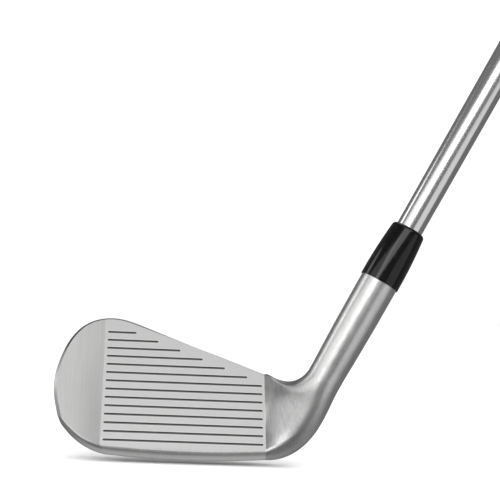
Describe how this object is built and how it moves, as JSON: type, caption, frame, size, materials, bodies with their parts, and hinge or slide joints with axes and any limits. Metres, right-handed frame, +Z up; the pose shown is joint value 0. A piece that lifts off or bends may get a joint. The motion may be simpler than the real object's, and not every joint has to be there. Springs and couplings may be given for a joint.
{
  "type": "iron golf club",
  "caption": "Iron golf club with a hollow bladed steel head, scored face, bonded ferrule, stepped steel shaft and rubber grip.",
  "frame": {"origin": "where the shaft's axis meets the ground when the club stands at address", "axes": "+X from toe to heel, +Y from the face to the back, +Z up; the shaft's axis lies in the plane Y = 0 and rises towards +X at the lie angle"},
  "size_m": [0.5225, 0.0434, 0.8379],
  "materials": {
    "head_steel": "satin brushed",
    "face_steel": "blasted between milled borders",
    "weight_metal": "sintered",
    "core_foam": "foam",
    "screw_steel": "satin",
    "slot_polymer": "matt",
    "bond_epoxy": "cast",
    "ferrule_plastic": "polished black",
    "shaft_chrome": "polished",
    "band_foil": "satin dark foil",
    "tape_paper": "creped",
    "grip_rubber": "moulded texture",
    "cap_rubber": "moulded"
  },
  "bodies": {
    "root": {"head_body": "head_steel", "face_plate": "face_steel", "toe_weight": "weight_metal", "foam_core": "core_foam", "port_screw": "screw_steel", "sole_slot_insert": "slot_polymer", "hosel_bond": "bond_epoxy", "ferrule": "ferrule_plastic", "shaft": "shaft_chrome", "tip_weight": "weight_metal", "shaft_band": "band_foil", "grip_tape": "tape_paper", "grip": "grip_rubber", "grip_cap": "cap_rubber"}
  },
  "joints": []
}
